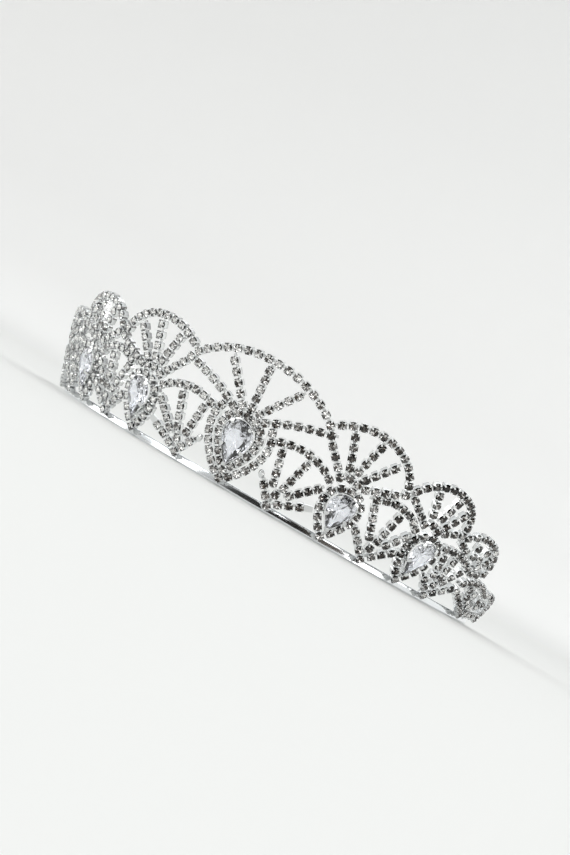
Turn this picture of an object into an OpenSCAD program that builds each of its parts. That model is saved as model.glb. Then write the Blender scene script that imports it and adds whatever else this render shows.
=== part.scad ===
// Bridal tiara: a half-round headband with an open lattice of square cup settings and clear cut stones.
// The lattice is drawn as a flat pattern and bent along the band, leaning outwards at its top.
// Pattern places are [s, t]: s runs along the band from its middle, t up the leaning face.
// The front faces -Y, the band rests on z = 0 and the origin is in the middle of its footprint.

/* [Headband] */
// Radius of the band's front stretch
front_radius = 66; // [60:1:72]
// Length along the band of half the front stretch
front_half = 40; // [36:1:44]
// Radius of the band's side stretches
side_radius = 77; // [70:1:84]
// Length along the band from its middle to each end
band_half = 110; // [110:1:114]
// Height of the band
band_height = 2.1; // [1.8:0.1:2.4]
// Thickness of the band
band_wall = 1.0; // [0.8:0.1:1.2]
// Lean of the lattice, outwards at its top, in degrees
lean = 20; // [14:1:24]

/* [Cup rows] */
// Width of a row of cups
row_width = 2.0; // [1.8:0.1:2.2]
// Depth of a row behind its stones
row_depth = 1.0; // [0.8:0.1:1.2]
// Length by which a row passes its last cup to the row it is soldered to
reach = 1.9; // [1.8:0.1:2.2]

/* [Round stones] */
// Diameter of a round stone
round_d = 2.05; // [1.8:0.05:2.2]
// Height of a stone's crown
crown_h = 0.35; // [0.3:0.05:0.4]
// Depth of a stone below its girdle
pavilion_h = 0.8; // [0.6:0.05:0.9]
// Gap between a stone and the metal behind it
seat_gap = 0.12; // [0.1:0.01:0.2]

/* [Pear stones] */
// Width of the centre pear
centre_w = 7.4; // [6.8:0.1:7.6]
// Length of the centre pear
centre_h = 12.6; // [12.2:0.1:12.8]
// Width of the side pears
side_w = 6.9; // [6.4:0.1:7.0]
// Length of the side pears
side_h = 10.8; // [10.2:0.1:11.0]
// Thickness of the plate behind a pear
plate = 0.5; // [0.4:0.1:0.6]
// Depth of a pear below its girdle
pear_below = 2.0; // [1.6:0.1:2.2]
// Height of a pear's crown
pear_crown = 1.0; // [0.8:0.1:1.2]

/* [Hidden] */

base_z = 0.5;
level_step = 0.11;
band_set_back = 0.7;
band_steps = 44;
front_angle = front_half / front_radius * 180 / PI;
side_angle = (band_half - front_half) / side_radius * 180 / PI;
depth = front_radius * (1 - cos(front_angle))
  + side_radius * (cos(front_angle) - cos(front_angle + side_angle));
plate_front = -0.34;
stone_front = seat_gap + pavilion_h + crown_h;
table_share = 0.58;

// Rows are arcs: [start s, start t, end s, end t, rise of the arc over its chord, cups]
centre_arc = [-17.0, 28.7, 17.0, 28.7, 7.1, 16];
fan_arcs = [
  [19.2, 30.2, 40.8, 23.0, 6.2, 12],
  [42.5, 25.6, 61.6, 21.6, 7.4, 12],
  [63.9, 21.9, 80.3, 15.6, 5.2, 9]
];
leaf_arcs = [
  [9.5, 18.3, 23.3, 16.3, 1.9, 7],
  [35.8, 18.0, 49.0, 16.4, 2.3, 7],
  [60.9, 16.1, 72.4, 14.6, 1.0, 6],
  [76.6, 10.3, 89.3, 11.0, 1.7, 6]
];
// Place of the band's front, so that the origin lies in the middle of the whole depth
front_overhang = (centre_arc[1] + centre_arc[4] + table_share * round_d / 2) * sin(lean)
  + stone_front * cos(lean);
front_y = (front_overhang - depth) / 2;
centre_spoke = [0, 33.1, 0, 22.4, 0, 5];
fan_spokes = [
  [8.1, 31.0, 2.3, 21.9, 0, 5],
  [4.3, 20.6, 18.4, 26.5, 0.6, 7],
  [23.0, 29.3, 25.9, 21.7, 0, 4],
  [29.2, 30.3, 28.1, 21.9, 0, 4],
  [34.6, 27.5, 30.7, 21.0, 0, 4],
  [19.9, 24.3, 25.2, 18.2, 0, 4],
  [38.6, 21.6, 32.0, 18.7, 0, 4],
  [27.4, 19.2, 29.7, 18.9, 0, 2],
  [47.9, 27.5, 50.2, 22.4, 0, 3],
  [53.6, 28.3, 53.0, 22.8, 0, 3],
  [57.6, 26.1, 55.6, 21.3, 0, 3],
  [43.5, 23.2, 50.0, 18.9, 0, 4],
  [59.3, 20.8, 57.0, 19.6, 0, 2],
  [54.7, 19.0, 52.3, 19.9, 0, 2],
  [69.7, 20.9, 70.4, 18.2, 0, 2],
  [73.6, 21.2, 73.0, 18.4, 0, 2],
  [76.6, 18.6, 75.1, 16.5, 0, 2],
  [64.1, 19.5, 66.5, 18.6, 0, 2],
  [77.9, 14.3, 75.2, 13.9, 0, 2]
];
leaf_spokes = [
  [13.9, 1.8, 14.5, 5.4, 0, 2],
  [12.4, 4.0, 10.8, 6.3, 0, 2],
  [16.3, 3.4, 21.2, 5.8, 0, 3],
  [12.6, 8.0, 10.9, 15.9, 0, 4],
  [15.5, 8.1, 17.2, 16.2, 0, 4],
  [17.6, 7.0, 22.5, 12.4, 0, 4],
  [42.4, 1.8, 42.5, 5.6, 0, 2],
  [40.4, 3.9, 36.3, 7.9, 0, 3],
  [44.5, 3.9, 48.5, 7.5, 0, 3],
  [40.4, 8.3, 36.6, 15.6, 0, 4],
  [43.0, 8.4, 43.4, 16.6, 0, 4],
  [45.6, 8.6, 48.6, 13.2, 0, 3],
  [67.4, 1.8, 67.1, 5.7, 0, 2],
  [65.2, 3.9, 63.1, 5.8, 0, 2],
  [69.6, 3.6, 74.1, 7.1, 0, 3],
  [64.3, 8.2, 62.6, 13.4, 0, 3],
  [66.8, 8.5, 66.4, 13.9, 0, 3],
  [69.2, 7.7, 71.5, 12.3, 0, 3],
  [89.6, 1.8, 88.6, 5.4, 0, 2],
  [87.1, 3.1, 76.9, 7.4, 0, 5],
  [82.0, 9.6, 83.9, 7.4, 0, 2],
  [86.0, 9.0, 86.3, 6.3, 0, 2],
  [91.0, 4.9, 92.2, 7.6, 0, 2],
  [94.5, 6.3, 97.2, 7.6, 0, 2],
  [92.2, 2.9, 102.9, 3.6, 0, 5],
  [92.1, 10.5, 108.3, 2.8, 3.5, 8]
];
// Drops: [middle s, lowest t, width, length, sharpness of the point, cups, half angle or 180 if closed]
centre_drops = [
  [0, 4.0, centre_w + 2.8, centre_h + 3.5, 1, 16, 180],
  [0, 1.7, centre_w + 8.2, centre_h + 9.0, 0.6, 17, 129]
];
side_drops = [
  [29.5, 1.8, side_w + 2.7, side_h + 3.9, 0.8, 14, 180],
  [55.1, 1.8, side_w + 2.6, side_h + 4.1, 0.8, 14, 180]
];
// Pears: [middle s, lowest t, width, length, sharpness of the point]
centre_pear = [0, 6.2, centre_w, centre_h, 1];
inner_pear = [29.5, 4.8, side_w, side_h, 0.9];
outer_pear = [55.1, 4.9, side_w - 0.2, side_h, 0.9];
bead = [8.9, 8.1];

// Place and directions on the bent, leaning face
function heading(s) =
  let(a = min(abs(s), front_half))
    sign(s) * (a / front_radius + (abs(s) - a) / side_radius) * 180 / PI;
function plan(s) =
  let(h = abs(heading(s)), f = min(h, front_angle))
    [
      sign(s) * (front_radius * sin(f) + side_radius * (sin(h) - sin(f))),
      front_radius * (1 - cos(f)) + side_radius * (cos(f) - cos(h)) + front_y
    ];
function along(s) = [cos(heading(s)), sin(heading(s)), 0];
function upward(s) = [sin(lean) * sin(heading(s)), -sin(lean) * cos(heading(s)), cos(lean)];
function outward(s) = [cos(lean) * sin(heading(s)), -cos(lean) * cos(heading(s)), -sin(lean)];
function face(p, d = 0) = [plan(p[0])[0], plan(p[0])[1], base_z] + upward(p[0]) * p[1] + outward(p[0]) * d;

// Flat outlines
function arc_at(row, u) =
  let(
    a = [row[0], row[1]],
    c = [row[2], row[3]] - a,
    half = norm(c) / 2,
    e = c / max(2 * half, 0.001),
    q = 2 * atan(row[4] / max(half, 0.001)),
    r = abs(row[4]) < 0.01 ? 0 : half / sin(q),
    g = (2 * u - 1) * q
  )
    r == 0 ? a + c * u : a + c / 2 + e * r * sin(g) + [-e[1], e[0]] * r * (cos(g) - cos(q));
function bulge(angle, sharp) = sin(angle) * pow(sin(abs(angle) / 2), sharp);
function drop_at(drop, angle) = [
  drop[0] + drop[2] / 2 * bulge(angle, drop[4]) / bulge(acos(-drop[4] / (2 + drop[4])), drop[4]),
  drop[1] + drop[3] / 2 * (1 - cos(angle))
];
function arc_path(row) = [for (k = [0:16]) arc_at(row, k / 16)];
function drop_path(drop) = [for (k = [-24:24]) drop_at(drop, k / 24 * drop[6])];

// Places spread evenly along a path, by its length on the bent face
function measured(path) = [
  for (i = 0, d = 0; i < len(path);
       i = i + 1, d = i < len(path) ? d + norm(face(path[i]) - face(path[i - 1])) : d) d
];
function spread(path, first, step, count) =
  let(
    d = measured(path),
    on_s = [for (i = [0:len(path) - 1]) [d[i], path[i][0]]],
    on_t = [for (i = [0:len(path) - 1]) [d[i], path[i][1]]]
  )
    [for (k = [0:count - 1]) [lookup(first + step * k, on_s), lookup(first + step * k, on_t)]];
function path_length(path) = let(d = measured(path)) d[len(d) - 1];
function row_places(row) =
  let(path = arc_path(row)) spread(path, 0, path_length(path) / (row[5] - 1), row[5]);
function drop_places(drop) =
  let(
    path = drop_path(drop),
    gaps = drop[6] == 180 ? drop[5] : drop[5] - 1
  )
    spread(path, 0, path_length(path) / gaps, drop[5]);
function mirrored(places, side) = [for (p = places) [p[0] * side, p[1]]];
function beyond(places, i, j, by) = places[i] + (places[i] - places[j]) / norm(places[i] - places[j]) * by;
function passed(places, curved) =
  let(n = len(places))
    [
      beyond(places, 0, 1, reach),
      for (i = [1:1:n - 2]) if (curved && i % 2 == n % 2) places[i],
      beyond(places, n - 1, n - 2, reach)
    ];

// Four corners of a row's section at one of its places, its front at the level given
function section(places, i, closed, level) =
  let(
    n = len(places),
    p = places[i],
    before = places[closed ? (i + n - 1) % n : max(i - 1, 0)],
    after = places[closed ? (i + 1) % n : min(i + 1, n - 1)],
    t = face(after) - face(before),
    w = cross(outward(p[0]), t / norm(t)) * row_width / 2
  )
    [
      face(p, level - row_depth) - w,
      face(p, level - row_depth) + w,
      face(p, level) + w,
      face(p, level) - w
    ];

// A closed skin through four-cornered sections, joined end to start if closed
module sweep(sections, closed) {
  n = len(sections);
  polyhedron(
    points = [for (c = sections) each c],
    faces = concat(
      closed ? [] : [[0, 1, 2, 3], [4 * n - 1, 4 * n - 2, 4 * n - 3, 4 * n - 4]],
      [for (i = [0:n - (closed ? 1 : 2)], k = [0:3])
        let(a = 4 * i + k, b = 4 * i + (k + 1) % 4, far = 4 * ((i + 1) % n), c = far + k, d = far + (k + 1) % 4)
          each [[c, d, b], [c, b, a]]]
    )
  );
}

module bar(places, closed, level) {
  sections = [for (i = [0:len(places) - 1]) section(places, i, closed, level)];
  if (len(places) > 2)
    sweep(sections, closed);
  else
    hull()
      sweep(sections, false);
}

module row(spec, side, level) {
  bar(mirrored(passed(row_places(spec), spec[4] != 0), side), false, level);
}

module ring(drop, side, level) {
  bar(mirrored(drop_places(drop), side), drop[6] == 180, level);
}

// Rows that cross lie at levels a little apart, as overlapping soldered wires do
module rows(specs, side, first) {
  for (i = [0:len(specs) - 1])
    row(specs[i], side, first - level_step * (i % 4 + (side + 1) / 4));
}

// A cut gem of rings and a point: table ring, girdle ring and culet
module gem(table, girdle, culet) {
  n = len(girdle);
  polyhedron(
    points = concat(table, girdle, [culet]),
    faces = concat(
      [[for (k = [n - 1:-1:0]) k]],
      [for (k = [0:n - 1]) [k, (k + 1) % n, n + (k + 1) % n, n + k]],
      [for (k = [0:n - 1]) [n + k, n + (k + 1) % n, 2 * n]]
    )
  );
}

module round_stone(p) {
  girdle_d = seat_gap + pavilion_h;
  ring = [for (k = [0:7]) (along(p[0]) * cos(k * 45) + upward(p[0]) * sin(k * 45)) * round_d / 2];
  gem([for (v = ring) face(p, stone_front) + v * table_share],
      [for (v = ring) face(p, girdle_d) + v],
      face(p, seat_gap));
}

module round_stones(places) {
  for (p = places)
    round_stone(p);
}

module pear_stone(pear, side) {
  back = plate_front + seat_gap;
  middle = [side * pear[0], pear[1] + pear[3] * 0.58];
  rim = [for (k = [0:19]) drop_at([side * pear[0], pear[1], pear[2], pear[3], pear[4]], k * 18 - 180)];
  gem([for (q = rim) face(middle + (q - middle) * 0.6, back + pear_below + pear_crown)],
      [for (q = rim) face(q, back + pear_below)],
      face(middle, back));
}

module pear_plate(pear, side) {
  n = 12;
  rim = [for (k = [0:n - 1])
    drop_at([side * pear[0], pear[1] - 1.4, pear[2] + 1.8, pear[3] + 2.3, pear[4]], k * 360 / n - 180)];
  hull()
    polyhedron(
      points = concat([for (q = rim) face(q, plate_front)], [for (q = rim) face(q, plate_front - plate)]),
      faces = concat(
        [[for (k = [n - 1:-1:0]) k]],
        [[for (k = [n:2 * n - 1]) k]],
        [for (k = [0:n - 1]) [k, (k + 1) % n, n + (k + 1) % n, n + k]]
      )
    );
}

// Four corners of the leaning band's section at one place
function band_section(s) = [
  for (c = [[0, 0], [1, 0], [1, band_height], [0, band_height]])
    let(x = (c[1] - base_z) * tan(lean) - (band_set_back + c[0] * band_wall) / cos(lean))
      [plan(s)[0] + x * sin(heading(s)), plan(s)[1] - x * cos(heading(s)), c[1]]
];

module headband() {
  sweep([for (i = [0:band_steps]) band_section((2 * i / band_steps - 1) * band_half)], false);
}

module lattice() {
  row(centre_arc, 1, 0);
  row(centre_spoke, 1, -level_step);
  ring(centre_drops[0], 1, -level_step);
  ring(centre_drops[1], 1, 0);
  pear_plate(centre_pear, 1);
  for (side = [-1, 1]) {
    row(fan_arcs[0], side, -level_step);
    row(fan_arcs[1], side, 0);
    row(fan_arcs[2], side, -level_step);
    rows(leaf_arcs, side, -level_step);
    rows(fan_spokes, side, -1.5 * level_step);
    rows(leaf_spokes, side, -1.5 * level_step);
    for (drop = side_drops)
      ring(drop, side, 0);
    pear_plate(inner_pear, side);
    pear_plate(outer_pear, side);
    translate(face([side * bead[0], bead[1]], -0.1))
      sphere(d = 1.7, $fn = 10);
  }
}

module tiara_frame() {
  color("silver")
    difference() {
      union() {
        headband();
        lattice();
      }
      translate([-100, -100, -10])
        cube([200, 200, 10]);
    }
}

module clear_stones(places) {
  color("aliceblue")
    round_stones(places);
}

module clear_pear(pear, side) {
  color("white")
    pear_stone(pear, side);
}

tiara_frame();
clear_pear(centre_pear, 1);  // centre_stone
clear_pear(inner_pear, -1);  // inner_stone_left
clear_pear(inner_pear, 1);  // inner_stone_right
clear_pear(outer_pear, -1);  // outer_stone_left
clear_pear(outer_pear, 1);  // outer_stone_right
clear_stones(row_places(centre_arc));  // centre_fan_stones
clear_stones([for (r = fan_arcs) each mirrored(row_places(r), -1)]);  // left_fan_stones
clear_stones([for (r = fan_arcs) each row_places(r)]);  // right_fan_stones
clear_stones([for (d = centre_drops) each drop_places(d)]);  // centre_halo_stones
clear_stones([for (d = side_drops) each mirrored(drop_places(d), -1)]);  // left_halo_stones
clear_stones([for (d = side_drops) each drop_places(d)]);  // right_halo_stones
clear_stones([for (r = leaf_arcs) each mirrored(row_places(r), -1)]);  // left_leaf_stones
clear_stones([for (r = leaf_arcs) each row_places(r)]);  // right_leaf_stones
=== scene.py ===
import bpy
import numpy as np
from mathutils import Matrix, Vector


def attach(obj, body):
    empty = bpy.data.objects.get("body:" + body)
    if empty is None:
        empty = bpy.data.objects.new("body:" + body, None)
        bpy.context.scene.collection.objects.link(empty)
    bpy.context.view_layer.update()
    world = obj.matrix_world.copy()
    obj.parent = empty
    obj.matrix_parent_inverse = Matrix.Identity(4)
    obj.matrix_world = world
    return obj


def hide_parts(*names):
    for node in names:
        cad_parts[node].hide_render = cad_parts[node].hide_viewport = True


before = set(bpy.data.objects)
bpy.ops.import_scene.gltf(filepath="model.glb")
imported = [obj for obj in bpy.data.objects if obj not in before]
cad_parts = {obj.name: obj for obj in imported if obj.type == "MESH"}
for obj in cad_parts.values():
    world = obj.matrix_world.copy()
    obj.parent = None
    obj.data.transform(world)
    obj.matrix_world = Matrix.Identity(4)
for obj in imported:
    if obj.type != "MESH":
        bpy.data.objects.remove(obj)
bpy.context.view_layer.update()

# Headband
# A strip of spring steel 2.1 mm tall and 1 mm thick, drawn with rounded edges, bent to a half round
# that is a little wider at the sides, then polished and plated. The lattice is soldered in front of it.
MM = 0.001  # in metres; the sizes that follow are in millimetres
FRONT_RADIUS = 66.0
FRONT_HALF = 40.0  # length of the front stretch to each side of the middle
SIDE_RADIUS = 77.0
BAND_HALF = 110.0  # length of the whole band to each side
BAND_HEIGHT = 2.1
BAND_WALL = 1.0
BAND_SET_BACK = 0.7  # from the lattice's face back to the band
BAND_LEAN = np.radians(9.0)  # of the band's outer face, inwards at the top, as a head narrows
BASE_Z = 0.5  # height of the lattice's foot
LEAN = np.radians(20.0)  # of the lattice, outwards at the top
FAN_FOOT, FAN_RISE = 28.7, 7.1  # of the middle fan's arc, up the leaning face
ROUND_DIAMETER, TABLE_SHARE = 2.05, 0.58  # of a round stone, and its table's share of that
GIRDLE_LEVEL, CROWN_HEIGHT = 0.92, 0.35  # of a round stone, in front of the face
FRONT_TURN = FRONT_HALF / FRONT_RADIUS
SIDE_TURN = (BAND_HALF - FRONT_HALF) / SIDE_RADIUS
BAND_DEPTH = FRONT_RADIUS * (1 - np.cos(FRONT_TURN)) + SIDE_RADIUS * (
    np.cos(FRONT_TURN) - np.cos(FRONT_TURN + SIDE_TURN))
# The origin is half way from the middle fan's top stones, which lean out in front, to the band's ends
FAN_TOP = FAN_FOOT + FAN_RISE + TABLE_SHARE * ROUND_DIAMETER / 2
OVERHANG = FAN_TOP * np.sin(LEAN) + (GIRDLE_LEVEL + CROWN_HEIGHT) * np.cos(LEAN)
FRONT_Y = (OVERHANG - BAND_DEPTH) / 2


def heading(s):
    """Turn of the band at length s from its middle: the length on each stretch over that one's radius."""
    front = np.minimum(np.abs(s), FRONT_HALF)
    return np.sign(s) * (front / FRONT_RADIUS + (np.abs(s) - front) / SIDE_RADIUS)


def on_plan(s):
    """Place in plan at length s: the end of the front stretch's arc plus the arc of the side stretch."""
    turn = np.abs(heading(s))
    front = np.minimum(turn, FRONT_TURN)
    x = np.sign(s) * (FRONT_RADIUS * np.sin(front) + SIDE_RADIUS * (np.sin(turn) - np.sin(front)))
    y = FRONT_RADIUS * (1 - np.cos(front)) + SIDE_RADIUS * (np.cos(front) - np.cos(turn)) + FRONT_Y
    return x, y


def skin(rings, points, closed=False):
    """Faces of a tube of rings: each has two neighbours on a ring and the same two on the next ring.
    An open tube gets one face over each end ring."""
    ring = np.arange(rings if closed else rings - 1)[:, None] * points
    k = np.arange(points)[None, :]
    after, above = (k + 1) % points, (ring + points) % (rings * points)
    faces = [np.stack([ring + k, ring + after, above + after, above + k], -1).reshape(-1, 4)]
    if not closed:
        faces += [np.arange(points)[None, ::-1], (rings - 1) * points + np.arange(points)[None, :]]
    return faces


def make_piece(name, points, faces, materials, picked=None, smooth=None):
    """A mesh from points in millimetres and arrays of faces. picked gives each face its material, and
    smooth is the angle in degrees under which neighbouring faces are shaded as one."""
    mesh = bpy.data.meshes.new(name)
    mesh.from_pydata((points * MM).tolist(), [], [row for f in faces for row in f.tolist()])
    for material in materials:
        mesh.materials.append(material)
    if picked is not None:
        mesh.polygons.foreach_set("material_index", np.asarray(picked, np.int32))
    if smooth is not None:
        mesh.polygons.foreach_set("use_smooth", np.ones(len(mesh.polygons), bool))
        mesh.set_sharp_from_angle(angle=np.radians(smooth))
    mesh.update()
    piece = bpy.data.objects.new(name, mesh)
    bpy.context.scene.collection.objects.link(piece)
    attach(piece, "root")
    return piece


def colour(code):
    """Linear colour of an sRGB hex code: each channel by the sRGB curve, a straight foot under 0.04045."""
    value = np.array([int(code[k:k + 2], 16) for k in (1, 3, 5)]) / 255
    value = np.where(value > 0.04045, ((value + 0.055) / 1.055) ** 2.4, value / 12.92)
    return (*value.tolist(), 1.0)


def bare_material(name):
    """A new material and its node tree, with no nodes yet."""
    material = bpy.data.materials.new(name)
    material.use_nodes = True
    material.node_tree.nodes.clear()
    return material, material.node_tree


def add_node(tree, kind, sockets=None, **settings):
    """A node with its settings, and values or links for its sockets."""
    node = tree.nodes.new(kind)
    for name, value in settings.items():
        setattr(node, name, value)
    for name, value in (sockets or {}).items():
        if isinstance(value, bpy.types.NodeSocket):
            tree.links.new(value, node.inputs[name])
        else:
            node.inputs[name].default_value = value
    return node


# Rhodium-plated steel: a near mirror with a cool grey tint; the drawing lines that run along the strip
# spread its reflections a little across it. A line is about 8 mm long, and they are 0.125 mm apart.
LINE_LENGTH, LINE_SPACING = 25 / 3, 0.125
plated_steel, tree = bare_material("rhodium_plated_steel")
strip_uv = add_node(tree, "ShaderNodeUVMap", uv_map="strip")
drawn = add_node(tree, "ShaderNodeMapping",
                 {"Vector": strip_uv.outputs[0], "Scale": (1 / LINE_LENGTH, 1 / LINE_SPACING, 1.0)})
lines = add_node(tree, "ShaderNodeTexNoise", {"Vector": drawn.outputs[0], "Scale": 1.0, "Detail": 3.0})
rough = add_node(tree, "ShaderNodeMapRange",
                 {"Value": lines.outputs["Fac"], "From Min": 0.3, "From Max": 0.7,
                  "To Min": 0.06, "To Max": 0.16})
dents = add_node(tree, "ShaderNodeBump",
                 {"Height": lines.outputs["Fac"], "Strength": 0.15, "Distance": 0.02 * MM})
shader = add_node(tree, "ShaderNodeBsdfPrincipled",
                  {"Base Color": colour("#eff1f3"), "Metallic": 1.0, "Roughness": rough.outputs[0],
                   "Normal": dents.outputs[0]})
add_node(tree, "ShaderNodeOutputMaterial", {"Surface": shader.outputs[0]})

BAND_RINGS, BAND_POINTS = 320, 32
END_ROUND, END_CUT = 1.0, 0.985  # length of the round end, and the share of it up to its small flat tip
CORNER_POWER = 4.0  # of the section: 2 is an ellipse, and more is squarer
STRIP_GIRTH = 6.0  # way round the section


def squared(wave):
    """A sine or cosine pushed towards a square's sides: its size to the power 2 over CORNER_POWER."""
    return np.sign(wave) * np.abs(wave) ** (2 / CORNER_POWER)


# Rings along the band, closer together towards its ends, where the section is drawn in to a round end
ring_share = np.linspace(-1, 1, BAND_RINGS)
along = BAND_HALF * (0.5 * np.sin(ring_share * np.pi / 2) + 0.5 * ring_share)
end_part = np.clip((np.abs(along) - (BAND_HALF - END_ROUND)) / END_ROUND, 0, END_CUT)
shrink = np.sqrt(1 - end_part ** 2)[:, None]
turn_round = -np.arange(BAND_POINTS) / BAND_POINTS * 2 * np.pi
section_z = BAND_HEIGHT / 2 * (1 + squared(np.sin(turn_round)) * shrink)
inwards = BAND_WALL / 2 * (1 - squared(np.cos(turn_round)) * shrink)
half_way = BAND_HEIGHT / 2
out = ((half_way - BASE_Z) * np.tan(LEAN) - (section_z - half_way) * np.tan(BAND_LEAN)
       - (BAND_SET_BACK + inwards) / np.cos(LEAN))
band_x, band_y = on_plan(along)
turn = heading(along)
band_points = np.stack([band_x[:, None] + out * np.sin(turn)[:, None],
                        band_y[:, None] - out * np.cos(turn)[:, None], section_z], -1)
headband = make_piece("headband", band_points.reshape(-1, 3), skin(BAND_RINGS, BAND_POINTS),
                      [plated_steel], smooth=40)
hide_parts("tiara_frame")
# The strip's own map, in millimetres along it and round it
uv = headband.data.uv_layers.new(name="strip")
corner_point = np.zeros(len(headband.data.loops), np.int32)
headband.data.loops.foreach_get("vertex_index", corner_point)
strip_place = np.stack([along[corner_point // BAND_POINTS],
                        (corner_point % BAND_POINTS) * STRIP_GIRTH / BAND_POINTS], -1)
uv.data.foreach_set("uv", strip_place.astype(np.float32).ravel())

# Cup rows
# Cup chain: pressed brass cups 2.2 mm square, each with four claws, joined by thin links, cut to length,
# bent into the pattern's arcs and spokes, soldered where they meet and plated with rhodium.

# A place on the lattice is s, the length along the band from its middle, and t, the way up its leaning
# face; a level is how far in front of that face a point lies.
# Rows: start s, start t, end s, end t, rise of the arc over its chord, cups
CENTRE_ARC = (-17.0, FAN_FOOT, 17.0, FAN_FOOT, FAN_RISE, 16)
FAN_ARCS = ((19.2, 30.2, 40.8, 23.0, 6.2, 12), (42.5, 25.6, 61.6, 21.6, 7.4, 12),
            (63.9, 21.9, 80.3, 15.6, 5.2, 9))
LEAF_ARCS = ((9.5, 18.3, 23.3, 16.3, 1.9, 7), (35.8, 18.0, 49.0, 16.4, 2.3, 7),
             (60.9, 16.1, 72.4, 14.6, 1.0, 6), (76.6, 10.3, 89.3, 11.0, 1.7, 6))
CENTRE_SPOKE = (0, 33.1, 0, 22.4, 0, 5)
SPOKES = (
    (8.1, 31.0, 2.3, 21.9, 0, 5), (4.3, 20.6, 18.4, 26.5, 0.6, 7), (23.0, 29.3, 25.9, 21.7, 0, 4),
    (29.2, 30.3, 28.1, 21.9, 0, 4), (34.6, 27.5, 30.7, 21.0, 0, 4), (19.9, 24.3, 25.2, 18.2, 0, 4),
    (38.6, 21.6, 32.0, 18.7, 0, 4), (27.4, 19.2, 29.7, 18.9, 0, 2), (47.9, 27.5, 50.2, 22.4, 0, 3),
    (53.6, 28.3, 53.0, 22.8, 0, 3), (57.6, 26.1, 55.6, 21.3, 0, 3), (43.5, 23.2, 50.0, 18.9, 0, 4),
    (59.3, 20.8, 57.0, 19.6, 0, 2), (54.7, 19.0, 52.3, 19.9, 0, 2), (69.7, 20.9, 70.4, 18.2, 0, 2),
    (73.6, 21.2, 73.0, 18.4, 0, 2), (76.6, 18.6, 75.1, 16.5, 0, 2), (64.1, 19.5, 66.5, 18.6, 0, 2),
    (77.9, 14.3, 75.2, 13.9, 0, 2), (13.9, 1.8, 14.5, 5.4, 0, 2), (12.4, 4.0, 10.8, 6.3, 0, 2),
    (16.3, 3.4, 21.2, 5.8, 0, 3), (12.6, 8.0, 10.9, 15.9, 0, 4), (15.5, 8.1, 17.2, 16.2, 0, 4),
    (17.6, 7.0, 22.5, 12.4, 0, 4), (42.4, 1.8, 42.5, 5.6, 0, 2), (40.4, 3.9, 36.3, 7.9, 0, 3),
    (44.5, 3.9, 48.5, 7.5, 0, 3), (40.4, 8.3, 36.6, 15.6, 0, 4), (43.0, 8.4, 43.4, 16.6, 0, 4),
    (45.6, 8.6, 48.6, 13.2, 0, 3), (67.4, 1.8, 67.1, 5.7, 0, 2), (65.2, 3.9, 63.1, 5.8, 0, 2),
    (69.6, 3.6, 74.1, 7.1, 0, 3), (64.3, 8.2, 62.6, 13.4, 0, 3), (66.8, 8.5, 66.4, 13.9, 0, 3),
    (69.2, 7.7, 71.5, 12.3, 0, 3), (89.6, 1.8, 88.6, 5.4, 0, 2), (87.1, 3.1, 76.9, 7.4, 0, 5),
    (82.0, 9.6, 83.9, 7.4, 0, 2), (86.0, 9.0, 86.3, 6.3, 0, 2), (91.0, 4.9, 92.2, 7.6, 0, 2),
    (94.5, 6.3, 97.2, 7.6, 0, 2), (92.2, 2.9, 102.9, 3.6, 0, 5), (92.1, 10.5, 108.3, 2.8, 3.5, 8))
# Drops: middle s, lowest t, width, length, sharpness of the point, cups, half angle or 180 if closed
CENTRE_DROPS = ((0, 4.0, 10.2, 16.1, 1, 16, 180), (0, 1.7, 15.6, 21.6, 0.6, 17, 129))
SIDE_DROPS = ((29.5, 1.8, 9.6, 14.7, 0.8, 14, 180), (55.1, 1.8, 9.5, 14.9, 0.8, 14, 180))


def outward(s):
    """Direction square to the leaning face: the band's outward direction turned down by the lean."""
    turn = heading(s)
    return np.stack([np.cos(LEAN) * np.sin(turn), -np.cos(LEAN) * np.cos(turn),
                     np.full_like(turn, -np.sin(LEAN))], -1)


def on_face(s, t, d=0.0):
    """Point at length s along the band, t up its leaning face and d in front of it, in millimetres."""
    s, t, d = np.broadcast_arrays(np.asarray(s, float), t, d)
    turn = heading(s)
    x, y = on_plan(s)
    upward = np.stack([np.sin(LEAN) * np.sin(turn), -np.sin(LEAN) * np.cos(turn),
                       np.full_like(turn, np.cos(LEAN))], -1)
    foot = np.stack([x, y, np.full_like(x, BASE_Z)], -1)
    return foot + upward * t[..., None] + outward(s) * d[..., None]


def arc_path(row, points=17):
    """Points of a row's arc: the circle through its ends that rises so far over the chord, or the chord."""
    start, end, rise = np.array(row[0:2]), np.array(row[2:4]), row[4]
    share = np.linspace(0, 1, points)[:, None]
    chord = end - start
    if abs(rise) < 0.01:
        return start + chord * share
    half = np.linalg.norm(chord) / 2
    way = chord / (2 * half)
    half_turn = 2 * np.arctan(rise / half)
    radius = half / np.sin(half_turn)
    turn = (2 * share - 1) * half_turn
    side = np.array([-way[1], way[0]])
    return (start + chord / 2 + way * radius * np.sin(turn)
            + side * radius * (np.cos(turn) - np.cos(half_turn)))


def bulge(angle, sharp):
    """Half width of a drop at an angle from its point: the sine times a power of the half angle's sine."""
    return np.sin(angle) * np.sin(np.abs(angle) / 2) ** sharp


def drop_outline(drop, angle):
    """Outline of a drop: its half width as bulge says, its height as half of one minus the cosine."""
    middle, lowest, width, length, sharp = drop[:5]
    widest = bulge(np.arccos(-sharp / (2 + sharp)), sharp)
    return np.stack([middle + width / 2 * bulge(angle, sharp) / widest,
                     lowest + length / 2 * (1 - np.cos(angle))], -1)


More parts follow.
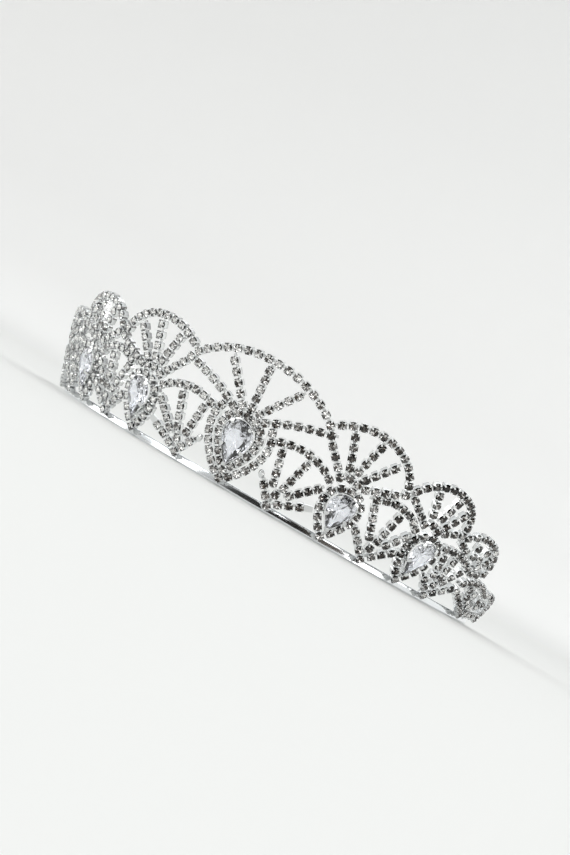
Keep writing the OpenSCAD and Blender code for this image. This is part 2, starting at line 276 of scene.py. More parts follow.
def spread(path, count, closed):
    """Places evenly spaced along a path, by its length on the bent face."""
    bent = on_face(path[:, 0], path[:, 1])
    reached = np.concatenate([[0], np.cumsum(np.linalg.norm(np.diff(bent, axis=0), axis=1))])
    wanted = reached[-1] * np.arange(count) / (count if closed else count - 1)
    return np.stack([np.interp(wanted, reached, path[:, 0]), np.interp(wanted, reached, path[:, 1])], -1)


def row_cups(row):
    """Places of a row's cups, from its first end to its last."""
    return spread(arc_path(row), row[5], False)


def drop_cups(drop, steps=24):
    """Places of a drop's cups: round its whole outline, or to its half angle on each side of the point."""
    angle = np.radians(np.arange(-steps, steps + 1) / steps * drop[6])
    return spread(drop_outline(drop, angle), drop[5], drop[6] == 180)


def mirrored(places, side):
    """Places on the right side, or with side -1 the same ones on the left."""
    return places * np.array([side, 1.0])


def cup_axes(places, closed):
    """Three axes of each cup: along its row, which is the way from the cup before to the one after, taken
    square to the face's outward direction; across it; and outward."""
    if closed:
        after, before = np.roll(places, -1, 0), np.roll(places, 1, 0)
    else:
        after = np.concatenate([places[1:], places[-1:]])
        before = np.concatenate([places[:1], places[:-1]])
    out_of = outward(places[:, 0])
    run = on_face(after[:, 0], after[:, 1]) - on_face(before[:, 0], before[:, 1])
    run -= out_of * np.sum(run * out_of, 1, keepdims=True)
    run /= np.linalg.norm(run, axis=1, keepdims=True)
    return np.stack([run, np.cross(out_of, run), out_of], 1)


# Each chain: the node whose stones it carries, its cups' places, and whether it closes on itself
chains = [("centre_fan", row_cups(CENTRE_ARC), False), ("spoke", row_cups(CENTRE_SPOKE), False)]
chains += [("centre_halo", drop_cups(d), d[6] == 180) for d in CENTRE_DROPS]
for hand, side in (("left", -1), ("right", 1)):
    chains += [(hand + "_fan", mirrored(row_cups(r), side), False) for r in FAN_ARCS]
    chains += [(hand + "_leaf", mirrored(row_cups(r), side), False) for r in LEAF_ARCS]
    chains += [(hand + "_halo", mirrored(drop_cups(d), side), True) for d in SIDE_DROPS]
    chains += [("spoke", mirrored(row_cups(r), side), False) for r in SPOKES]
cup_place = np.concatenate([places for _, places, _ in chains])
cup_axis = np.concatenate([cup_axes(places, closed) for _, places, closed in chains])
cup_owner = np.concatenate([[owner] * len(places) for owner, places, _ in chains])
# A cup at a leaf's or halo's foot, lower than this, stands on its corner
CORNER_BELOW = 2.5
on_corner = (cup_place[:, 1] < CORNER_BELOW)[:, None]
diagonal = np.sqrt(0.5)
cup_axis = np.stack([
    np.where(on_corner, (cup_axis[:, 0] + cup_axis[:, 1]) * diagonal, cup_axis[:, 0]),
    np.where(on_corner, (cup_axis[:, 1] - cup_axis[:, 0]) * diagonal, cup_axis[:, 1]),
    cup_axis[:, 2]], 1)
cup_centre = on_face(cup_place[:, 0], cup_place[:, 1])

# Rhodium-plated brass: a bright cool grey metal, smooth but not flat, since each cup is pressed from thin
# sheet, and rougher in patches. Painted shade darkens it in patches to a dark brown in the hollows: towards
# the cups' feet, in their wells, at the claws' feet and on the links.
PATCH = 0.8  # width of a patch of painted shade, of rougher plating or of a dent, in millimetres
plated_brass, tree = bare_material("rhodium_plated_brass")
place = add_node(tree, "ShaderNodeTexCoord")
patches = add_node(tree, "ShaderNodeTexNoise",
                   {"Vector": place.outputs["Object"], "Scale": 1000 / PATCH, "Detail": 3.0})
# The foot attribute gives the share of painted shade at each point, and the patches break it up
foot = add_node(tree, "ShaderNodeAttribute", attribute_name="foot")
painted_shade = add_node(tree, "ShaderNodeMath", {0: foot.outputs["Fac"], 1: patches.outputs["Fac"]},
                operation="MULTIPLY")
tint = add_node(tree, "ShaderNodeMix",
                {"Factor": painted_shade.outputs[0], "A": colour("#f0f1f1"), "B": colour("#2f2a26")},
                data_type="RGBA")
rough = add_node(tree, "ShaderNodeMapRange",
                 {"Value": patches.outputs["Fac"], "From Min": 0.3, "From Max": 0.7,
                  "To Min": 0.06, "To Max": 0.2})
dents = add_node(tree, "ShaderNodeBump",
                 {"Height": patches.outputs["Fac"], "Strength": 0.35, "Distance": 0.08 * MM})
shader = add_node(tree, "ShaderNodeBsdfPrincipled",
                  {"Base Color": tint.outputs["Result"], "Metallic": 1.0, "Roughness": rough.outputs[0],
                   "Normal": dents.outputs[0]})
add_node(tree, "ShaderNodeOutputMaterial", {"Surface": shader.outputs[0]})

CUP_HALF, CUP_CUT = 1.1, 0.26  # half of a cup's width, and how much its corners are cut off
CUP_FOOT, FOOT_SHARE = -0.95, 0.9  # level of its foot, and the foot's share of the width
EDGE_CORNER, EDGE_DIP = 0.8, 0.42  # level of its scalloped edge at the corners and between them
WELL_RADIUS = 0.5  # of the well that the stone's point sits in
# A claw's sections: distance from the middle and level of the outer side, the same of the inner side, and
# half the width
CUP_CLAW = np.array([(1.36, 0.40, 1.16, 0.40, 0.25), (1.33, 1.09, 1.13, 0.99, 0.23),
                     (0.86, 1.21, 0.90, 1.07, 0.15)])
# How much painted shade darkens the plating at a cup's foot, in its well, at its claws' feet and on the
# links
FOOT_SHADE, WELL_SHADE, CLAW_SHADE, LINK_SHADE = 0.55, 1.6, 0.5, 0.45


def claw_corners(sections):
    """Distance, side and level of the corners of a claw's sections: two outer and two inner ones each."""
    hands = np.array([-1, 1, 1, -1])
    return sections[:, [0, 0, 2, 2]], sections[:, 4:] * hands, sections[:, [1, 1, 3, 3]]


def copied(faces, count, size):
    """Faces of so many copies of a shape: each copy's are counted on by the shape's number of points."""
    step = np.arange(count)[:, None, None] * size
    return [(f[None] + step).reshape(-1, f.shape[1]) for f in faces]


def repeat(shape, faces, centres, axes):
    """Copies of one shape: its points along each copy's three axes from that copy's centre."""
    points = centres[:, None, :] + np.einsum("mk,nkj->nmj", shape, axes)
    return points.reshape(-1, 3), copied(faces, len(centres), len(shape))


def join(parts):
    """One list of points and faces from several, each one's faces counted on from those before it."""
    points, faces, start = [], [], 0
    for part_points, part_faces in parts:
        points.append(part_points)
        faces += [f + start for f in part_faces]
        start += len(part_points)
    return np.concatenate(points), faces


# A cup is three rings of twelve points, three to a side: its foot, its scalloped edge and its well
one_side = np.array([[CUP_HALF, -(CUP_HALF - CUP_CUT)], [CUP_HALF, 0], [CUP_HALF, CUP_HALF - CUP_CUT]])
quarters = [np.array([[np.cos(a), np.sin(a)], [-np.sin(a), np.cos(a)]]) for a in np.arange(4) * np.pi / 2]
square = np.concatenate([one_side @ q for q in quarters])
well = WELL_RADIUS * square / np.linalg.norm(square, axis=1, keepdims=True)
edge_level = np.tile([EDGE_CORNER, EDGE_DIP, EDGE_CORNER], 4)
cup_wall = np.concatenate([
    np.column_stack([square * FOOT_SHARE, np.full(len(square), CUP_FOOT)]),
    np.column_stack([square, edge_level]),
    np.column_stack([well, np.zeros(len(square))])])
# Its four claws stand at its corners
distance, sideways, level = claw_corners(CUP_CLAW)
claws = [np.stack([distance * np.cos(a) - sideways * np.sin(a),
                   distance * np.sin(a) + sideways * np.cos(a), level], -1).reshape(-1, 3)
         for a in np.radians(45 + 90 * np.arange(4))]
cup_shape, one_cup_faces = join([(cup_wall, skin(3, len(square)))] + [(c, skin(3, 4)) for c in claws])
cup_points, cup_faces = repeat(cup_shape, one_cup_faces, cup_centre, cup_axis)

# Links lie low between neighbouring cups, and past a row's last cup on the row that it is soldered to
LINK_HALF, LINK_LOW, LINK_HIGH, LINK_REACH = 0.4, -0.8, -0.35, 1.7
link_ends = []
for _, places, closed in chains:
    first = places[0] + (places[0] - places[1]) / np.linalg.norm(places[0] - places[1]) * LINK_REACH
    last = places[-1] + (places[-1] - places[-2]) / np.linalg.norm(places[-1] - places[-2]) * LINK_REACH
    line = np.concatenate([places, places[:1]]) if closed else np.concatenate([[first], places, [last]])
    link_ends.append(np.stack([line[:-1], line[1:]], 1))
link_ends = np.concatenate(link_ends)
link_place = on_face(link_ends[..., 0], link_ends[..., 1])
link_out = outward(link_ends[..., 0])
link_run = link_place[:, 1:] - link_place[:, :1]
link_side = np.cross(link_out, link_run / np.linalg.norm(link_run, axis=-1, keepdims=True))
corners = np.array([[-1, LINK_LOW], [1, LINK_LOW], [1, LINK_HIGH], [-1, LINK_HIGH]])
link_points = (link_place[:, :, None] + link_side[:, :, None] * LINK_HALF * corners[:, 0, None]
               + link_out[:, :, None] * corners[:, 1, None]).reshape(-1, 3)
link_faces = copied(skin(2, 4), len(link_ends), 8)

row_points, row_faces = join([(cup_points, cup_faces), (link_points, link_faces)])
cup_rows = make_piece("cup_rows", row_points, row_faces, [plated_brass])
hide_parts("tiara_frame")
# Painted shade for each point of the cups and links, which the material reads as its foot attribute
cup_painted_shade = np.concatenate([np.repeat([FOOT_SHADE, 0.0, WELL_SHADE], len(square)),
                           np.tile(np.repeat([CLAW_SHADE, 0.0, 0.0], 4), 4)])
painted_shade_amount = np.concatenate([np.tile(cup_painted_shade, len(cup_centre)), np.full(len(link_points), LINK_SHADE)])
painted_shade_values = cup_rows.data.attributes.new("foot", "FLOAT", "POINT")
painted_shade_values.data.foreach_set("value", painted_shade_amount.astype(np.float32))

# Round stones
# Foiled crystal: machine-cut glass chatons 2 mm across, a table and 32 facets over a silver-foiled point.
# Each is pressed into its cup and held by the four claws, so it sits a little turned and tilted.
POINT_DEPTH = 0.8
STAR_SHARE = 0.82  # of the radius, where the star facets end
BELT_SHARE, BELT_DEPTH = 0.84, 0.64  # of the radius and of the depth, where the kites below are widest


def brilliant(table, star, girdle, belt, points):
    """Facets of a cut stone from its rings: table corners, star points between them, girdle points twice
    as many, belt points under the girdle's odd ones, and the point below. Kites hang from the table's
    corners. The first five kinds of facet are the crown's, and the last three are below the girdle."""
    n = len(table)
    k = np.arange(n)
    after, before = (k + 1) % n, (k - 1) % n
    # Number of each ring's first point
    stars, girdles, belts, tip = n, 2 * n, 4 * n, 5 * n
    faces = [k[None, :],
             np.stack([k, stars + k, after], -1),
             np.stack([k, stars + before, girdles + 2 * k, stars + k], -1),
             np.stack([stars + k, girdles + 2 * k, girdles + 2 * k + 1], -1),
             np.stack([stars + k, girdles + 2 * k + 1, girdles + 2 * after], -1),
             np.stack([np.full(n, tip), belts + k, girdles + 2 * k, belts + before], -1),
             np.stack([belts + k, girdles + 2 * k + 1, girdles + 2 * k], -1),
             np.stack([belts + k, girdles + 2 * after, girdles + 2 * k + 1], -1)]
    return np.concatenate([table, star, girdle, belt, points]), faces


def ring_of(radius, level, angles):
    """Points of a circle round the stone's axis at some angles, all at one level."""
    return np.column_stack([radius * np.cos(angles), radius * np.sin(angles), np.full(len(angles), level)])


CROWN_KINDS = 5
eight = np.arange(8) * np.pi / 4
sixteen = np.arange(16) * np.pi / 8
round_radius = ROUND_DIAMETER / 2
# The star points lie in the planes of the kites
star_level = CROWN_HEIGHT * (1 - STAR_SHARE * np.cos(np.pi / 8)) / (1 - TABLE_SHARE)
chaton, chaton_faces = brilliant(
    ring_of(round_radius * TABLE_SHARE, CROWN_HEIGHT, eight),
    ring_of(round_radius * STAR_SHARE, star_level, eight + np.pi / 8),
    ring_of(round_radius, 0.0, sixteen),
    ring_of(round_radius * BELT_SHARE, -POINT_DEPTH * BELT_DEPTH, eight + np.pi / 8),
    np.array([[0.0, 0.0, -POINT_DEPTH]]))

# Lead crystal: clear glass that bends light strongly, so that the table flashes and the facets break up
# what is behind
lead_crystal, tree = bare_material("lead_crystal")
shader = add_node(tree, "ShaderNodeBsdfPrincipled",
                  {"Base Color": colour("#fbfcfe"), "Roughness": 0.0, "IOR": 1.5,
                   "Transmission Weight": 1.0})
add_node(tree, "ShaderNodeOutputMaterial", {"Surface": shader.outputs[0]})

# Silver foil behind the facets, painted with reflections: each facet is painted from dark brown to white,
# as if some threw a light back and others mirrored a dark room
silver_foil, tree = bare_material("silver_foil_backing")
# The facet attribute holds each facet's painted reflection, from dark to bright
facet = add_node(tree, "ShaderNodeAttribute", attribute_name="facet")
tint = add_node(tree, "ShaderNodeMix",
                {"Factor": facet.outputs["Fac"], "A": colour("#43372c"), "B": colour("#fefdfb")},
                data_type="RGBA")
shader = add_node(tree, "ShaderNodeBsdfPrincipled",
                  {"Base Color": tint.outputs["Result"], "Metallic": 1.0, "Roughness": 0.03})
add_node(tree, "ShaderNodeOutputMaterial", {"Surface": shader.outputs[0]})

TILT = 3.6  # usual tilt of a stone in its cup, in degrees
POINT_WANDER = 0.06  # how far a stone's point is usually off its axis, in millimetres
LEAST_CLEAR, MOST_CLEAR = -0.45, 1.15  # a stone's own clearness
# Painted light: the stones on the wearer's right, which face the window at the left of the room, are
# painted
# clearer and so brighter: from the given starting s to that side, clearness rises by the gain over the
# given length, and to the other side it falls by at most the least share of that gain
PAINTED_LIGHT_GAIN, PAINTED_LIGHT_START, PAINTED_LIGHT_LENGTH, PAINTED_LIGHT_LEAST = 1.5, 14, 45, -0.15
CONTRAST, FACET_CHANCE = 2.2, 1.1  # between bright and dark facets, and how much each differs by itself
chance = np.random.default_rng(20)  # with a seed, so that each run sets the stones the same way


def set_stones(name, picked, node_name=None):
    """Stones in the picked cups, each turned about its axis and tilted a few degrees by chance."""
    count = int(picked.sum())
    turn_by = chance.uniform(0, np.pi / 4, count)
    tilt = np.radians(chance.normal(0, TILT, (count, 2)))
    axes = cup_axis[picked]
    x = axes[:, 0] * np.cos(turn_by)[:, None] + axes[:, 1] * np.sin(turn_by)[:, None]
    z = axes[:, 2] + axes[:, 0] * tilt[:, :1] + axes[:, 1] * tilt[:, 1:]
    z /= np.linalg.norm(z, axis=1, keepdims=True)
    y = np.cross(z, x)
    y /= np.linalg.norm(y, axis=1, keepdims=True)
    centres = cup_centre[picked] + axes[:, 2] * GIRDLE_LEVEL
    axes = np.stack([np.cross(y, z), y, z], 1)
    points, faces = repeat(chaton, chaton_faces, centres, axes)
    tip = np.arange(1, count + 1) * len(chaton) - 1
    points[tip] += (axes[:, 0] * chance.normal(0, POINT_WANDER, (count, 1))
                    + axes[:, 1] * chance.normal(0, POINT_WANDER, (count, 1)))
    foiled = np.concatenate([np.full(len(f), kind >= CROWN_KINDS, int) for kind, f in enumerate(faces)])
    piece = make_piece(name, points, faces, [lead_crystal, silver_foil], picked=foiled)
    # Painted reflections: facets that look the same way are painted bright or dark together, in two pairs
    # of lobes round each stone
    of_stone = np.concatenate([np.repeat(np.arange(count), len(f) // count) for f in faces])
    looks = np.concatenate([np.tile(np.arctan2(chaton[f, 1].mean(1), chaton[f, 0].mean(1)), count)
                            for f in chaton_faces])
    # Painted light: stones towards the window side get a larger share of bright foil facets
    painted_light_share = np.clip((PAINTED_LIGHT_START - cup_place[picked, 0]) / PAINTED_LIGHT_LENGTH, PAINTED_LIGHT_LEAST, 1)
    clearness_and_painted_light = chance.uniform(LEAST_CLEAR, MOST_CLEAR, count) + PAINTED_LIGHT_GAIN * painted_light_share
    lobes = np.cos(2 * looks - chance.uniform(0, 2 * np.pi, count)[of_stone]) + clearness_and_painted_light[of_stone]
    facets = 0.5 + 0.5 * np.tanh(CONTRAST * lobes + chance.normal(0, FACET_CHANCE, len(looks)))
    painted_reflection_values = piece.data.attributes.new("facet", "FLOAT", "FACE")
    painted_reflection_values.data.foreach_set("value", facets.astype(np.float32))
    if node_name:
        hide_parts(node_name)


for owner in ("centre_fan", "left_fan", "right_fan", "centre_halo", "left_halo", "right_halo",
              "left_leaf", "right_leaf"):
    set_stones(owner + "_chatons", cup_owner == owner, owner + "_stones")
set_stones("spoke_chatons", cup_owner == "spoke")

# Pear stones
# Cubic zirconia, cut as pear brilliants: 14 kites round the table and a deep point below.
# The largest is in the middle and two pairs flank it; each hangs point down in its halo.

# Pears: middle s, lowest t, width, length, sharpness of the point
PEARS = {
    "centre_stone": (0, 6.2, 7.4, 12.6, 1), "inner_stone_left": (-29.5, 4.8, 6.9, 10.8, 0.9),
    "inner_stone_right": (29.5, 4.8, 6.9, 10.8, 0.9), "outer_stone_left": (-55.1, 4.9, 6.7, 10.8, 0.9),
    "outer_stone_right": (55.1, 4.9, 6.7, 10.8, 0.9)}
PEAR_KITES = 14
PEAR_BACK, PEAR_BELOW, PEAR_CROWN = -0.22, 2.0, 1.0  # level of its point, depth under the girdle, crown
PEAR_GIRDLE = PEAR_BACK + PEAR_BELOW
PEAR_HEART = 0.58  # share of the length, from the drop's point, at which its facets meet
# Shares of the outline and of the crown's height at the table and at the star points
PEAR_TABLE, PEAR_STAR, STAR_RISE = 0.56, 0.80, 0.56
# Shares of the outline and of the depth at the three rings under the girdle
UNDER_RINGS = ((0.84, 0.32), (0.58, 0.62), (0.28, 0.84))
PEAR_WANDER = 0.1  # how far a corner under the girdle is usually off its place, in millimetres

# Cubic zirconia: clear and colder than glass, with the strongest flash of all the stones
zirconia, tree = bare_material("cubic_zirconia")
shader = add_node(tree, "ShaderNodeBsdfPrincipled",
                  {"Base Color": colour("#f7f9ff"), "Roughness": 0.0, "IOR": 1.9,
                   "Transmission Weight": 1.0})
add_node(tree, "ShaderNodeOutputMaterial", {"Surface": shader.outputs[0]})


def heart_of(pear):
    """The place in a pear that its facets and its claws point to."""
    return np.array([pear[0], pear[1] + pear[3] * PEAR_HEART])


def pear_ring(pear, share, level, angle):
    """A ring of a pear: its outline at some angles, drawn in to a share of its way from the heart."""
    heart = heart_of(pear)
    q = heart + (drop_outline(pear, angle) - heart) * share
    return on_face(q[:, 0], q[:, 1], level)


def staggered(upper, lower, count):
    """Two rows of triangles between rings of as many points, the lower ring turned half a step on."""
    k = np.arange(count)
    after = (k + 1) % count
    return [np.stack([upper + k, lower + k, upper + after], -1),
            np.stack([upper + after, lower + k, lower + after], -1)]


girdle_angle = np.arange(2 * PEAR_KITES) * np.pi / PEAR_KITES - np.pi
kite_angle, star_angle = girdle_angle[0::2], girdle_angle[1::2]
whole_step = 2 * np.pi / PEAR_KITES
# Each ring under the girdle is turned half a step on from the one above it
under_angles = (star_angle, kite_angle + whole_step, star_angle + whole_step)
for node_name, pear in PEARS.items():
    heart = heart_of(pear)
    belt, second, third = [pear_ring(pear, share, PEAR_GIRDLE - PEAR_BELOW * depth, angle)
                           for (share, depth), angle in zip(UNDER_RINGS, under_angles)]
    stone, stone_faces = brilliant(
        pear_ring(pear, PEAR_TABLE, PEAR_GIRDLE + PEAR_CROWN, kite_angle),
        pear_ring(pear, PEAR_STAR, PEAR_GIRDLE + PEAR_CROWN * STAR_RISE, star_angle),
        pear_ring(pear, 1.0, PEAR_GIRDLE, girdle_angle), belt,
        np.concatenate([second, third, on_face(heart[:1], heart[1:], PEAR_BACK)]))
    # Its lower kites end at the belt, and two more rings lead from there to the point
    n, k = PEAR_KITES, np.arange(PEAR_KITES)
    stone_faces[CROWN_KINDS] = stone_faces[CROWN_KINDS][:, 1:]
    stone_faces += staggered(4 * n, 5 * n, n) + staggered(5 * n, 6 * n, n)
    stone_faces += [np.stack([6 * n + k, np.full(n, 7 * n), 6 * n + (k + 1) % n], -1)]
    wander = np.concatenate([np.zeros((4 * n, 3)), chance.normal(0, PEAR_WANDER, (3 * n + 1, 3))])
    piece = make_piece(node_name.replace("stone", "pear"), stone + wander, stone_faces, [zirconia])
    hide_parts(node_name)

# Pear settings
# Brass galleries soldered into the halos: an open wall round each pear's underside and five claws bent
# over its crown. The centre halo has a thin edge wire between its two rows of cups, and small beads and
# flat tabs bridge the gaps between leaves and halos.

# A gallery's rings: how far each stands out from the pear's edge, and its level
GALLERY = ((0.62, -0.84), (0.40, 0.9), (0.32, 1.5), (0.12, 1.62), (0.02, 1.4), (-0.9, -0.3))
END_GROWTH = 1.15  # how far a drop's ends grow, as a share of how far its sides do
# Claws: angle from the pear's point in degrees, and half the width
CLAWS = ((0.0, 0.42), (75.0, 0.36), (-75.0, 0.36), (148.0, 0.36), (-148.0, 0.36))
# A claw's sections from its foot to its tip: distance from the pear's edge and level of the outer side,
# the same of the inner side, and the share of the claw's width
PEAR_CLAW = np.array([(0.62, 0.2, 0.25, 0.2, 0.9), (0.60, 1.75, 0.12, 1.70, 1.0),
                      (0.38, 2.28, 0.02, 1.98, 1.25), (-0.15, 2.62, -0.20, 2.22, 1.35),
                      (-0.62, 2.66, -0.62, 2.40, 1.0), (-0.82, 2.56, -0.80, 2.44, 0.5)])


def wall(drop, profile, count=48):
    """A closed wall round a drop: each ring is its outline grown by a width, at a level from the face."""
    angle = np.arange(count) * 2 * np.pi / count - np.pi
    rings = []
    for grow, level in profile:
        grown = (drop[0], drop[1] - grow * END_GROWTH, drop[2] + 2 * grow,
                 drop[3] + 2 * END_GROWTH * grow, drop[4])
        q = drop_outline(grown, angle)
        rings.append(on_face(q[:, 0], q[:, 1], level))
    return np.concatenate(rings), skin(len(profile), count, closed=True)


def pear_claw(pear, angle, half):
    """A claw at an angle round a pear: the corners of its sections lie along the way from the pear's heart
    through its edge, and to both sides of that way."""
    foot_at = drop_outline(pear, np.radians([angle]))[0]
    way = (foot_at - heart_of(pear)) / np.linalg.norm(foot_at - heart_of(pear))
    distance, sideways, level = claw_corners(PEAR_CLAW)
    cross_way = np.array([-way[1], way[0]])
    q = foot_at + way * distance[..., None] + cross_way * half * sideways[..., None]
    return on_face(q[..., 0], q[..., 1], level).reshape(-1, 3), skin(len(PEAR_CLAW), 4)


settings = []
for pear in PEARS.values():
    settings.append(wall(pear, GALLERY))
    settings += [pear_claw(pear, angle, half) for angle, half in CLAWS]

# The edge wire between the centre halo's rows: a strip bent on edge, open behind the fan's foot
WIRE = (0, 2.9, 12.7, 18.9, 0.85)  # a drop, as the pears are
WIRE_TURN, WIRE_POINTS = np.radians(128), 97
WIRE_HALF, WIRE_FRONT, WIRE_BACK = 0.13, 0.75, -0.8
wire_place = drop_outline(WIRE, np.linspace(-WIRE_TURN, WIRE_TURN, WIRE_POINTS))
wire_way = np.gradient(wire_place, axis=0)
wire_way /= np.linalg.norm(wire_way, axis=1, keepdims=True)
wire_side = np.stack([-wire_way[:, 1], wire_way[:, 0]], -1) * WIRE_HALF
wire_rings = [on_face(*(wire_place + wire_side * hand).T, level) for hand, level in
              ((-1, WIRE_FRONT), (-1, WIRE_BACK), (1, WIRE_BACK), (1, WIRE_FRONT))]
settings.append((np.stack(wire_rings, 1).reshape(-1, 3), skin(WIRE_POINTS, 4)))

# Egg-shaped beads between the first leaves and the centre halo
BEAD_PLACE, BEAD_WAY = (9.0, 8.3), (0.35, -0.94)
BEAD_LONG, BEAD_WIDE, BEAD_DEEP = 1.25, 0.85, 0.8  # half of its length, width and depth
BEAD_LEVEL = -0.15  # of its middle
BEAD_END = 0.12  # half angle of the small face at each end, in radians


def egg_bead(side, rings=9, points=14):
    """A bead: rings of an ellipsoid, whose angle from the end gives the way along it by its cosine and the
    ring's size by its sine."""
    a = np.linspace(BEAD_END, np.pi - BEAD_END, rings)[:, None]
    b = np.arange(points)[None, :] * 2 * np.pi / points
    length, width, height = -np.cos(a) + 0 * b, np.sin(a) * np.cos(b), np.sin(a) * np.sin(b)
    way = mirrored(BEAD_WAY, side)
    q = (mirrored(BEAD_PLACE, side) + length[..., None] * BEAD_LONG * way
         + width[..., None] * BEAD_WIDE * np.array([-way[1], way[0]]))
    level = BEAD_LEVEL + BEAD_DEEP * height
    return on_face(q[..., 0], q[..., 1], level).reshape(-1, 3), skin(rings, points)


# Flat bright tabs that carry a leaf's low row over to the next halo, from place to place
TABS = (((20.6, 5.6), (24.3, 6.9)), ((47.6, 7.0), (50.4, 8.4)))
TAB_HALVES = np.array([0.7, 0.95, 0.8])  # half the width at its start, its middle and its end
TAB_FRONT, TAB_BACK = 0.15, -0.35


def flat_tab(start, end):
    """A tab: three rectangles square to the line from start to end, at its ends and half way."""
    way = (end - start) / np.linalg.norm(end - start)
    edge = np.array([-way[1], way[0]])
    middles = np.stack([start, (start + end) / 2, end])
    hands = np.array([1, -1, -1, 1])
    level = np.array([TAB_FRONT, TAB_FRONT, TAB_BACK, TAB_BACK])
    q = middles[:, None] + edge * hands[:, None] * TAB_HALVES[:, None, None]
    return on_face(q[..., 0], q[..., 1], level).reshape(-1, 3), skin(3, 4)


for side in (-1, 1):
    settings.append(egg_bead(side))
    settings += [flat_tab(mirrored(start, side), mirrored(end, side)) for start, end in TABS]
setting_points, setting_faces = join(settings)
pear_settings = make_piece("pear_settings", setting_points, setting_faces, [plated_brass],
                           smooth=35)
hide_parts("tiara_frame")

# Studio
# A pale seamless sweep under a soft window at the front left and another behind, with white cards at the
# sides and small soft boxes in front. The room is bright to the left and dim in front and to the right.
SWEEP_POINTS = 96
LOW_WALL, HIGH_WALL = 280, 1200  # height of the sweep's wall in front of the tiara and behind it
# The sweep's rings: how far out each is, and its share of the wall's height
out_by = np.array([0.25, 0.6, 0.9, 1.15, 1.35, 1.5, 1.6, 1.66, 1.69, 1.7]) * 1000
rise = np.array([0, 0, 0, 0.01, 0.035, 0.085, 0.18, 0.34, 0.6, 1.0])
around = np.arange(SWEEP_POINTS) * 2 * np.pi / SWEEP_POINTS
wall_height = LOW_WALL + (HIGH_WALL - LOW_WALL) * (0.5 + 0.5 * np.sin(around)) ** 2
sweep_points = np.stack([out_by[:, None] * np.cos(around), out_by[:, None] * np.sin(around),
                         rise[:, None] * wall_height], -1).reshape(-1, 3)
sweep_mesh = bpy.data.meshes.new("sweep")
# The faces look up and inwards, and one face closes the middle of the floor
sweep_faces = skin(len(out_by), SWEEP_POINTS)
sweep_mesh.from_pydata((sweep_points * MM).tolist(), [],
                       sweep_faces[0][:, ::-1].tolist() + [list(range(SWEEP_POINTS))])
sweep_mesh.polygons.foreach_set("use_smooth", np.ones(len(sweep_mesh.polygons), bool))
sweep = bpy.data.objects.new("sweep", sweep_mesh)
bpy.context.scene.collection.objects.link(sweep)

# Matt paper: pale and without gloss. The wall behind is lit through from the back, so that it is as pale
# as the floor.
matt_paper, tree = bare_material("matt_paper")
place = add_node(tree, "ShaderNodeTexCoord")
where = add_node(tree, "ShaderNodeSeparateXYZ", {"Vector": place.outputs["Object"]})
behind = add_node(tree, "ShaderNodeMapRange",
                  {"Value": where.outputs["Y"], "From Min": -0.6, "From Max": 1.3,
                   "To Min": 0.0, "To Max": 0.25}, interpolation_type="SMOOTHSTEP")
upright = add_node(tree, "ShaderNodeMapRange",
                   {"Value": where.outputs["Z"], "From Min": -0.03, "From Max": 0.03,
                    "To Min": 0.0, "To Max": 1.0}, interpolation_type="SMOOTHSTEP")
glow = add_node(tree, "ShaderNodeMath", {0: behind.outputs[0], 1: upright.outputs[0]},
                operation="MULTIPLY")
shader = add_node(tree, "ShaderNodeBsdfPrincipled",
                  {"Base Color": colour("#f1f1ef"), "Roughness": 0.9, "Specular IOR Level": 0.1,
                   "Emission Color": colour("#fdfdff"), "Emission Strength": glow.outputs[0]})
add_node(tree, "ShaderNodeOutputMaterial", {"Surface": shader.outputs[0]})
sweep_mesh.materials.append(matt_paper)

# The room's own light is bright towards the windows at the left and behind, and dimmer towards the right
# and the front. Its colours are linear.
ROOM_LIGHT, WINDOW_LIGHT = (0.090, 0.078, 0.066, 1), (0.80, 0.825, 0.83, 1)
TO_WINDOWS, TO_SCREEN = (-0.80, 0.40, 0.45), (0.25, -0.95, 0.19)
world = bpy.data.worlds.new("studio")
bpy.context.scene.world = world
world.use_nodes = True
tree = world.node_tree
tree.nodes.clear()
way = add_node(tree, "ShaderNodeTexCoord")
lit = add_node(tree, "ShaderNodeVectorMath", {0: way.outputs["Generated"], 1: TO_WINDOWS},
               operation="DOT_PRODUCT")
share = add_node(tree, "ShaderNodeMapRange",
                 {"Value": lit.outputs["Value"], "From Min": -0.75, "From Max": 0.55,
                  "To Min": 0.0, "To Max": 1.0}, interpolation_type="SMOOTHSTEP")
sky = add_node(tree, "ShaderNodeMix", {"Factor": share.outputs[0], "A": ROOM_LIGHT, "B": WINDOW_LIGHT},
               data_type="RGBA")
# A dark screen in front gives the bright metal and the stones something dark to mirror
ahead = add_node(tree, "ShaderNodeVectorMath", {0: way.outputs["Generated"], 1: TO_SCREEN},
                 operation="DOT_PRODUCT")
screen = add_node(tree, "ShaderNodeMapRange",
                  {"Value": ahead.outputs["Value"], "From Min": 0.88, "From Max": 0.94,
                   "To Min": 1.0, "To Max": 0.12}, interpolation_type="SMOOTHSTEP")
shown = add_node(tree, "ShaderNodeBackground",
                 {"Color": sky.outputs["Result"], "Strength": screen.outputs[0]})
add_node(tree, "ShaderNodeOutputWorld", {"Surface": shown.outputs[0]})


def soft_light(name, place, size, power, aim=(0, 0, 0.02)):
    """A square area light, turned to its aim: place, size and aim in metres, power in watts."""
    data = bpy.data.lights.new(name, "AREA")
    data.shape, data.size, data.energy = "SQUARE", size, power
    lamp = bpy.data.objects.new(name, data)
    bpy.context.scene.collection.objects.link(lamp)
    lamp.location = place
    lamp.rotation_euler = (Vector(aim) - Vector(place)).to_track_quat("-Z", "Y").to_euler()
    lamp.visible_camera = False


# Windows high at the front left and behind
soft_light("window", (-1.05, -0.7, 0.85), 0.9, 2.4, aim=(0, 0, 0))
soft_light("back_window", (-0.5, 1.0, 1.1), 0.8, 0.9, aim=(0, 0, 0))
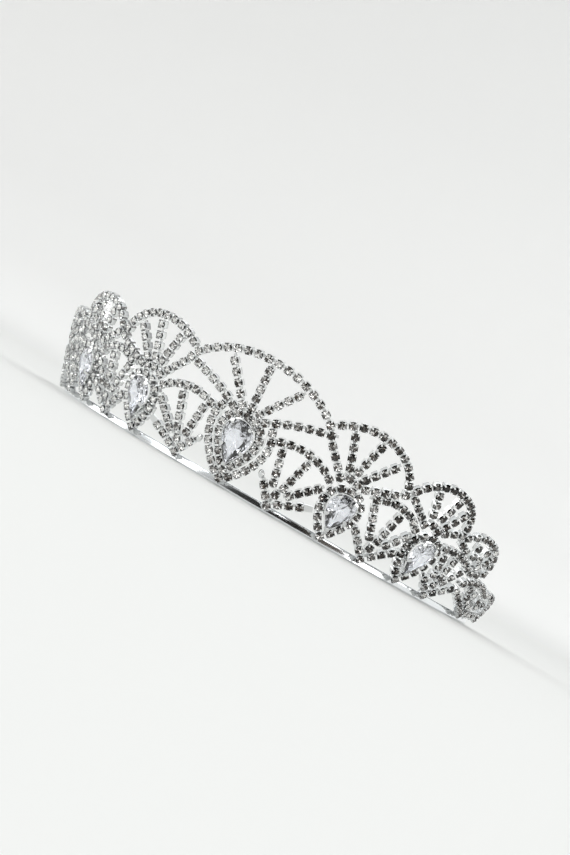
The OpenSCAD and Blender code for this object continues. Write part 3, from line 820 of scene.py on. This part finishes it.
# White cards low at the sides, for the large stones to mirror
soft_light("card_left", (-0.62, -0.76, 0.22), 0.5, 1.0)
soft_light("card_side", (-0.98, 0.0, 0.2), 0.6, 2.0)
soft_light("card_right", (0.93, -0.3, 0.2), 0.35, 0.9)
# Soft boxes in front and to the right, which the stones throw back as sparks: azimuth and height in
# degrees, size and power
SPARK_DISTANCE = 0.9
SPARKS = ((-30, 34, 0.2, 0.45), (16, 56, 0.2, 0.4), (54, 30, 0.2, 0.45), (98, 22, 0.2, 0.4),
          (22, 24, 0.1, 0.12), (76, 50, 0.16, 0.3))
for number, (azimuth, height, size, power) in enumerate(SPARKS):
    a, e = np.radians(azimuth), np.radians(height)
    soft_light("spark_%d" % number,
               (SPARK_DISTANCE * np.sin(a) * np.cos(e), -SPARK_DISTANCE * np.cos(a) * np.cos(e),
                SPARK_DISTANCE * np.sin(e)), size, power)

# Camera
# It has the photo's azimuth and lens, stands as low over the floor as it can, and is turned about its axis
# as the photo's camera was.
PHOTO_WIDTH, PHOTO_HEIGHT = 570, 855  # in pixels
AZIMUTH = np.radians(11.49)
ELEVATION = np.radians(-2.0)  # below nought, the camera looks slightly up
ROLL = np.radians(30.17)
DISTANCE = 365.69  # from the lattice's foot in the middle, in millimetres
FOCAL = 1430.6  # focal length in pixels
FOOT_PIXEL = (216.51, 483.06)  # where the lattice's foot in the middle shows
SENSOR = 36.0
back = np.array([np.sin(AZIMUTH) * np.cos(ELEVATION), -np.cos(AZIMUTH) * np.cos(ELEVATION),
                 np.sin(ELEVATION)])
right = np.array([np.cos(AZIMUTH), np.sin(AZIMUTH), 0.0])
above = np.cross(back, right)
frame_right = right * np.cos(ROLL) + above * np.sin(ROLL)
frame_up = -right * np.sin(ROLL) + above * np.cos(ROLL)
shift_right = (FOOT_PIXEL[0] - PHOTO_WIDTH / 2) * DISTANCE / FOCAL
shift_up = (PHOTO_HEIGHT / 2 - FOOT_PIXEL[1]) * DISTANCE / FOCAL
stand = np.array([0, FRONT_Y, BASE_Z]) + DISTANCE * back - shift_right * frame_right - shift_up * frame_up
camera_data = bpy.data.cameras.new("camera")
camera_data.sensor_fit, camera_data.sensor_width = "HORIZONTAL", SENSOR
camera_data.lens = FOCAL / PHOTO_WIDTH * SENSOR
camera_data.clip_start, camera_data.clip_end = 0.01, 20.0
camera = bpy.data.objects.new("camera", camera_data)
bpy.context.scene.collection.objects.link(camera)
turned = np.eye(4)
turned[:3, 0], turned[:3, 1], turned[:3, 2], turned[:3, 3] = frame_right, frame_up, back, stand * MM
camera.matrix_world = Matrix(turned.tolist())
bpy.context.scene.camera = camera
bpy.context.scene.view_settings.view_transform = "Standard"
